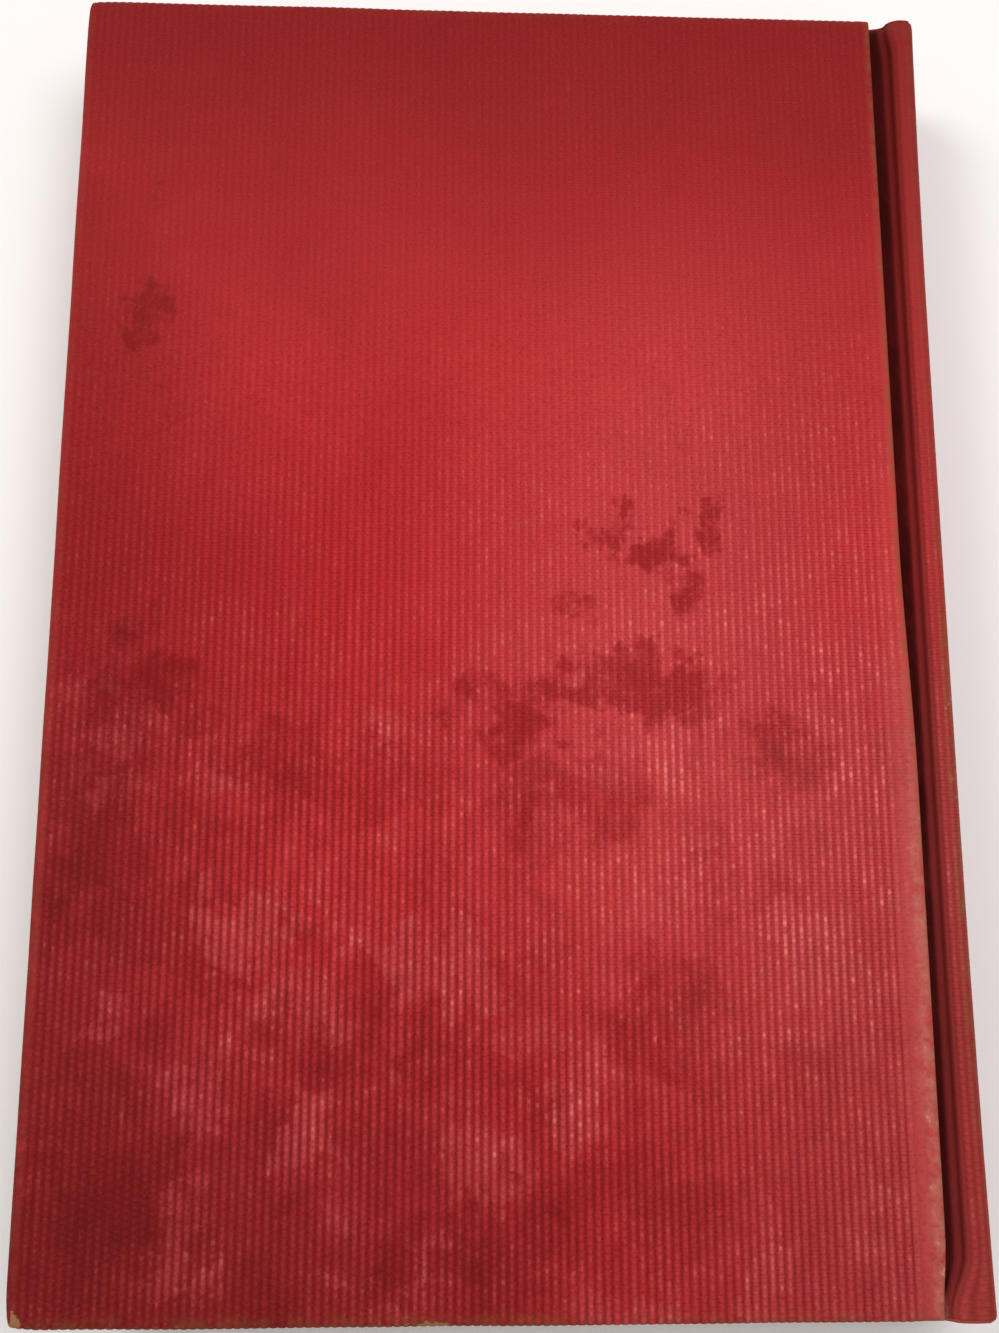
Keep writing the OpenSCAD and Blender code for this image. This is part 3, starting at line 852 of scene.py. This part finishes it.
def turn_outwards(piece):
    """Makes a closed mesh's faces point outwards."""
    work = bmesh.new()
    work.from_mesh(piece.data)
    bmesh.ops.recalc_face_normals(work, faces=work.faces)
    work.to_mesh(piece.data)
    work.free()
    piece.data.update()


def closed_sheet(name, points, strip, faces, front):
    """A closed sheet of paper or gauze; the front one is the back one turned over."""
    points = np.array(points)
    piece = mesh_object(name, mirrored(points) if front else points, faces, {"strip": np.array(strip)})
    turn_outwards(piece)
    return piece


def strip_sheet(name, upper, lower, length, rows, front):
    """A thin sheet between two lines of points in section, carried along the book's height."""
    ys = np.linspace(-length / 2, length / 2, rows)
    run = np.concatenate([[0], np.cumsum(np.linalg.norm(np.diff(upper, axis=0), axis=1))])
    ring = np.concatenate([upper, lower[::-1]])
    runs = np.concatenate([run, run[::-1]])
    points, strip = [], []
    for y in ys:
        for (x, z), s in zip(ring, runs):
            points.append((x, y, z))
            strip.append((s, y, 0))
    wide = len(ring)
    index = np.arange(len(points)).reshape(rows, wide)
    closed = np.concatenate([index, index[:, :1]], 1)
    faces = [tuple(f) for f in grid_faces(closed)]
    for row in (index[0], index[-1]):
        faces += [(row[i], row[i + 1], row[wide - 2 - i], row[wide - 1 - i]) for i in range(len(upper) - 1)]
    return closed_sheet(name, points, strip, faces, front)


def flyleaf(name, front):
    """The free half of an endpaper, lying on the leaves and turned up the shoulder."""
    fly_d = TEXT_D - PAPER
    flat_x = np.linspace(HOLLOW_C[0], LEAF_X, 40)[1:]
    upper = np.concatenate([shoulder_line(fly_d), [[x, LEAF_TOP + PAPER] for x in flat_x]])
    lower = np.concatenate([shoulder_line(TEXT_D), [[x, LEAF_TOP] for x in flat_x]])
    return strip_sheet(name, upper, lower, BLOCK_H, 42, front)


def pasted_leaf(name, front):
    """The glued half of an endpaper: over the turned-in cloth, down to the board between, and across
    the joint to the tip of the shoulder."""
    deep = TEXT_D - PAPER - 0.01 * MM
    thin = 0.09 * MM
    low, high = TURNED_LOW - PAPER, BOARD_LOW - PAPER
    near = np.linspace(HOLLOW_C[0], BACK_X + 0.2 * MM, 6)[1:]
    lower = [*shoulder_line(deep), *[(x, GROOVE_Z - deep) for x in near]]
    upper = [*shoulder_line(deep - thin), *[(x, GROOVE_Z - deep + thin) for x in near]]
    margin = pasted_lo.x
    xs = np.concatenate([
        np.linspace(BACK_X - 0.4 * MM, FORE_X + TURN_IN + 1.2 * MM, 34),
        FORE_X + TURN_IN + np.array([0.8, 0.4, 0.1, -0.4]) * MM,
        np.linspace(FORE_X + TURN_IN - 1.4 * MM, margin, 8)])
    section = [(x, 1.0 if x > BACK_X - 1 * MM else float(smooth(
        FORE_X + TURN_IN, FORE_X + TURN_IN + 1.0 * MM, x))) for x in xs]
    half = (pasted_hi.y - pasted_lo.y) / 2
    turned_y = COVER_H / 2 - TURN_IN
    edge_y = np.concatenate([
        np.linspace(half, turned_y + 1.2 * MM, 7), turned_y + np.array([0.4, -0.1, -0.5, -1.0]) * MM,
        np.linspace(turned_y - 3 * MM, 0, 16)])
    ys = np.concatenate([-edge_y, edge_y[-2::-1]])
    points = []
    for y in ys:
        drop_y = float(smooth(turned_y, turned_y - 1.0 * MM, abs(y)))
        for layer, joint in enumerate((lower, upper)):
            points += [(x, y, z) for x, z in joint]
            for x, inside in section:
                rise = 0.35 if x > BACK_X - 1 * MM else inside
                points.append((x, y, low + (high - low) * rise * drop_y + layer * PAPER * 0.98))
    strip = [(x, y, 0) for x, y, _ in points]
    wide = len(lower) + len(section)
    index = np.arange(len(points)).reshape(len(ys), 2, wide)
    ring = np.concatenate([index[:, 0], index[:, 1, ::-1], index[:, 0, :1]], 1)
    faces = [tuple(f) for f in grid_faces(ring)]
    for row in (index[0], index[-1]):
        faces += [(row[0, i], row[0, i + 1], row[1, i + 1], row[1, i]) for i in range(wide - 1)]
    return closed_sheet(name, points, strip, faces, front)


def gauze_half(name, front):
    """The gauze over half of the spine's folds, over one shoulder and across the joint."""
    outer_r = FOLD_R + GLUE + PAPER
    spine = arc(SPINE_C, outer_r, 0, RIDGE_A - 0.6, 14)
    under = arc(SPINE_C, outer_r - PAPER, 0, RIDGE_A - 0.6, 14)
    deep = SKIN + GLUE
    end_x = BACK_X + 0.25 * MM
    upper = np.concatenate([spine, shoulder_line(deep), [[end_x, GROOVE_Z - deep]]])
    lower = np.concatenate([under, shoulder_line(deep + GAUZE), [[end_x, GROOVE_Z - deep - GAUZE]]])
    return strip_sheet(name, upper, lower, BLOCK_H - 24 * MM, 30, front)


def leaf_block(name):
    """The sewn leaves, rounded and backed: each row of points is a leaf, from fore-edge to fold."""
    leaves = LEAVES_EACH * SECTIONS
    tip = shoulder_line(TEXT_D)
    order = np.argsort(tip[:, 0])
    rise_x, rise_z = tip[order, 0], tip[order, 1] - MID_Z
    tip_rise = rise_z.max()

    def half_thick(x):
        return np.interp(x, rise_x, rise_z)

    q = np.linspace(-1, 1, leaves + 1)
    along = np.concatenate([
        np.linspace(0, 0.9, 10), np.linspace(0.92, 0.955, 4), np.linspace(0.962, 1, 14)])
    rows = []
    for k, level in enumerate(q):
        rise = level * tip_rise
        half_section = LEAVES_EACH / 2
        crown = 1
        if half_section < k < leaves - half_section:
            crown = math.sqrt(abs(math.sin(math.pi * k / LEAVES_EACH)))
        fold_x = SPINE_C[0] + math.sqrt((FOLD_R - FURROW * (1 - crown)) ** 2 - rise ** 2)
        fore_x = LEAF_X - math.sqrt(FOLD_R ** 2 - (LEAVES_T / 2) ** 2) + math.sqrt(
            FOLD_R ** 2 - (level * LEAVES_T / 2) ** 2)
        x = fore_x + (fold_x - fore_x) * along
        rows.append(np.stack([x, MID_Z + level * half_thick(x)], 1))
    section = np.array(rows)
    wide = len(along)
    ys = np.array([-BLOCK_H / 2, -BLOCK_H / 6, BLOCK_H / 6, BLOCK_H / 2])
    points = [(x, y, z) for y in ys for row in section for x, z in row]
    leaf = np.tile(np.repeat(np.arange(leaves + 1.0), wide), len(ys))
    index = np.arange(len(points)).reshape(len(ys), leaves + 1, wide)
    faces = [grid_faces(index[0]), grid_faces(index[-1])]
    around = [index[:, 0, :], index[:, :, -1], index[:, -1, ::-1], index[:, ::-1, 0]]
    faces += [grid_faces(side) for side in around]
    return mesh_object(name, points, np.concatenate(faces), {"leaf": leaf})


def leaf_ruffle(paper):
    """Geometry nodes that shift each leaf a hair in or out, as leaves that were cut and then read."""
    n, given, out = new_group(
        "leaf ruffle", {"Leaves": GEOMETRY, **numbers("Fore-edge shift", "End shift", "Flat from"),
                        "Seed": "NodeSocketInt"},
        {"Leaves": GEOMETRY}, "GeometryNodeTree")
    leaf = n.put("GeometryNodeInputNamedAttribute", {"Name": "leaf"}, data_type="FLOAT").outputs[0]
    number = n.put("FunctionNodeFloatToInt", {0: leaf}, rounding_mode="ROUND").outputs[0]
    x, y, _ = n.split(n.put("GeometryNodeInputPosition").outputs[0])
    shifts = []
    for k, size in enumerate(("Fore-edge shift", "End shift")):
        seed = n.calc("ADD", given["Seed"], float(k))
        luck = n.put("FunctionNodeRandomValue", {"ID": number, "Seed": seed}, data_type="FLOAT").outputs[1]
        shifts.append(n.times(luck, given[size]))
    flat_from = given["Flat from"]
    at_fore = n.put("ShaderNodeMapRange", {
        "Value": x, "From Min": n.calc("ADD", flat_from, 0.03), "From Max": flat_from}).outputs["Result"]
    inwards = n.times(n.calc("SIGN", y), -1.0)
    offset = n.join(n.times(shifts[0], at_fore), n.times(shifts[1], inwards))
    n.send(out, {"Leaves": n.painted(n.whole(n.moved(given["Leaves"], offset)), paper)})
    return n.tree


# Headbands

def band_winding(light, dark):
    """Geometry nodes that wind two colours of thread round a headband's core, turn by turn."""
    n, given, out = new_group(
        "band winding", {"Core": GEOMETRY, **numbers("Core radius", "Thread", "Turn pitch", "Stripe")},
        {"Band": GEOMETRY}, "GeometryNodeTree")

    def circle(resolution, radius):
        links = {"Resolution": resolution, "Radius": radius}
        return n.put("GeometryNodeCurvePrimitiveCircle", links, mode="RADIUS").outputs[0]

    line = n.put("GeometryNodeMeshToCurve", {"Mesh": given["Core"]}).outputs[0]
    spaced = n.put("GeometryNodeResampleCurve", {"Curve": line, "Length": given["Turn pitch"]},
                   mode="LENGTH").outputs[0]
    turn = n.put("GeometryNodeCurveToMesh", {
        "Curve": circle(14, given["Core radius"]), "Profile Curve": circle(5, given["Thread"])}).outputs[0]
    tangent = n.put("GeometryNodeInputTangent").outputs[0]
    facing = n.put("FunctionNodeAlignRotationToVector", {"Vector": tangent}, axis="Z").outputs[0]
    turns = n.put("GeometryNodeInstanceOnPoints", {
        "Points": spaced, "Instance": turn, "Rotation": facing}).outputs[0]
    along = n.calc("DIVIDE", n.put("GeometryNodeInputIndex").outputs[0], given["Stripe"])
    striped = n.calc("GREATER_THAN", n.calc("FRACT", along), 0.5)
    split = n.put("GeometryNodeSeparateGeometry", {"Geometry": turns, "Selection": striped},
                  domain="INSTANCE")
    core_radius = n.calc("SUBTRACT", given["Core radius"], n.times(given["Thread"], 0.4))
    core = n.put("GeometryNodeCurveToMesh", {
        "Curve": line, "Profile Curve": circle(12, core_radius), "Fill Caps": True}).outputs[0]
    joined = n.put("GeometryNodeJoinGeometry")
    n.link(n.painted(core, light), joined.inputs[0])
    for half, finish in zip(split.outputs, (light, dark)):
        n.link(n.painted(n.whole(half), finish), joined.inputs[0])
    n.send(out, {"Band": joined.outputs[0]})
    return n.tree


def headband(name, end, winding):
    """A band at one end of the spine: a core along the leaves' curve, wound with thread."""
    core_r, thread = 0.72 * MM, 0.16 * MM
    radius = FOLD_R - 0.35 * MM
    angles = np.radians(np.linspace(-RIDGE_A + 1.2, RIDGE_A - 1.2, 40))
    y = end * (BLOCK_H / 2 + core_r)
    points = [(SPINE_C[0] + radius * math.cos(a), y, SPINE_C[1] + radius * math.sin(a)) for a in angles]
    mesh = bpy.data.meshes.new(name)
    mesh.from_pydata(points, [(i, i + 1) for i in range(len(points) - 1)], [])
    return run_nodes(placed(name, mesh), winding, {
        "Core radius": core_r, "Thread": thread, "Turn pitch": 0.29 * MM, "Stripe": 8.0})


# Build

weave_group, spot_group = canvas_weave(), stain_spot()
fibre_group, edge_group = paper_fibre(), leaf_edges()
cloth_finish = book_cloth(weave_group, spot_group)
page_finish = page_stack(fibre_group, edge_group)
end_finish = old_paper("old endpaper", fibre_group, (0.80, 0.75, 0.62), (0.68, 0.60, 0.45),
                       (0.42, 0.28, 0.14))
lining_finish = old_paper("brown lining paper", fibre_group, (0.42, 0.29, 0.16), (0.30, 0.19, 0.10),
                          (0.20, 0.12, 0.06))
gauze_finish = open_gauze()
board_finish = plain_board("pressed board", (0.34, 0.24, 0.14), (0.20, 0.13, 0.075), 260.0)
card_finish = plain_board("spine card", (0.40, 0.31, 0.20), (0.26, 0.19, 0.12), 380.0)
light_thread = wound_thread("pale band thread", (0.72, 0.62, 0.44), (0.45, 0.36, 0.22))
dark_thread = wound_thread("red band thread", (0.30, 0.035, 0.03), (0.14, 0.012, 0.012))

press = rib_press(cloth_finish)
for side, front, seed in (("back", False, 1.0), ("front", True, 2.0)):
    points, faces, weave, wear_and_shade = cloth_sheet(side, seed, scuffed=not front)
    if front:
        points = mirrored(points)
        faces = faces[:, ::-1]
    cloth = mesh_object(f"{side}_book_cloth", points, faces, {"weave": weave, "wear_and_shade": wear_and_shade})
    run_nodes(cloth, press, {"Rib height": RIB_H, "Unevenness": 0.35, "Seed": seed})
    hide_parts(f"{side}_cloth", "spine_cloth")
    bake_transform(cloth)

    pasted = pasted_leaf(f"{side}_pasted_leaf", front)
    pasted.data.materials.append(end_finish)
    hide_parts(f"{side}_pastedown")
    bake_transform(pasted)

    gauze = gauze_half(f"{side}_gauze", front)
    gauze.data.materials.append(gauze_finish)
    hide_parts("spine_gauze")
    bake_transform(gauze)

    loose = flyleaf(f"{side}_free_leaf", front)
    loose.data.materials.append(end_finish)
    crisp(cloth, pasted, gauze, loose)
    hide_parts(f"{side}_flyleaf")
    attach(loose, "book_block")

leaves = leaf_block("sewn_leaves")
turn_outwards(leaves)
run_nodes(leaves, leaf_ruffle(page_finish), {
    "Fore-edge shift": 0.22 * MM, "End shift": 0.10 * MM, "Flat from": LEAF_X, "Seed": 4})
crisp(leaves)
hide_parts("text_block")
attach(leaves, "book_block")

winding = band_winding(light_thread, dark_thread)
for node, end in (("head_band", 1), ("tail_band", -1)):
    band = headband(f"wound_{node}", end, winding)
    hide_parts(node)
    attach(band, "book_block")

for node, finish in (("front_board", board_finish), ("back_board", board_finish),
                     ("spine_inlay", card_finish), ("spine_lining", lining_finish)):
    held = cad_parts[node]
    held.data.materials.clear()
    held.data.materials.append(finish)


# Floor, light and camera

def studio_floor():
    made, n, shader, place = material("pale floor")
    colour = n.tint(n.grain(place, 3.0, 3.0), (0.86, 0.83, 0.825), (0.89, 0.865, 0.86))
    n.link(colour, shader["Base Color"])
    shader["Roughness"].default_value = 0.9
    shader["Specular IOR Level"].default_value = 0.1
    size = 4.0
    points = [(-size, -size, 0), (size, -size, 0), (size, size, 0), (-size, size, 0)]
    floor = mesh_object("floor", points, [(0, 1, 2, 3)])
    floor.data.materials.append(made)


def lamp(name, place, aim, size, power, colour):
    light = bpy.data.lights.new(name, "AREA")
    light.shape, light.size, light.size_y = "RECTANGLE", size, size
    light.energy, light.color = power, colour
    held = placed(name, light)
    held.location = place
    held.rotation_euler = (Vector(aim) - Vector(place)).to_track_quat("-Z", "Y").to_euler()


def studio_light():
    lamp("high key", (-0.55, 0.35, 0.75), (0, 0, 0), 0.35, 3.3, (1.0, 0.97, 0.93))
    lamp("near overhead", (0.16, 0.10, 0.55), (0.02, 0, 0), 0.30, 1.6, (1.0, 0.98, 0.96))
    world = bpy.data.worlds.new("studio")
    world.use_nodes = True
    n = Nodes(world.node_tree)
    back = world.node_tree.nodes["Background"].inputs
    back["Color"].default_value = (0.97, 0.98, 1.0, 1.0)
    path = n.put("ShaderNodeLightPath").outputs
    seen = n.most(path["Is Camera Ray"], path["Is Glossy Ray"], path["Is Transmission Ray"])
    n.link(n.line(seen, 0.5, 0.5), back["Strength"])
    bpy.context.scene.world = world


def book_camera():
    """Close above the book, a little towards its tail, where the photograph was taken."""
    data = bpy.data.cameras.new("camera")
    focal_px, frame_px = 1400, 1333
    data.lens = focal_px / frame_px * data.sensor_width
    data.clip_start, data.clip_end = 0.01, 20
    held = placed("camera", data)
    held.location = (-10.6 * MM, -52.5 * MM, 236.4 * MM)
    held.rotation_euler = [math.radians(a) for a in (11.39, -2.34, -0.03)]
    bpy.context.scene.camera = held


studio_floor()
studio_light()
book_camera()
bpy.context.scene.view_settings.view_transform = "Standard"
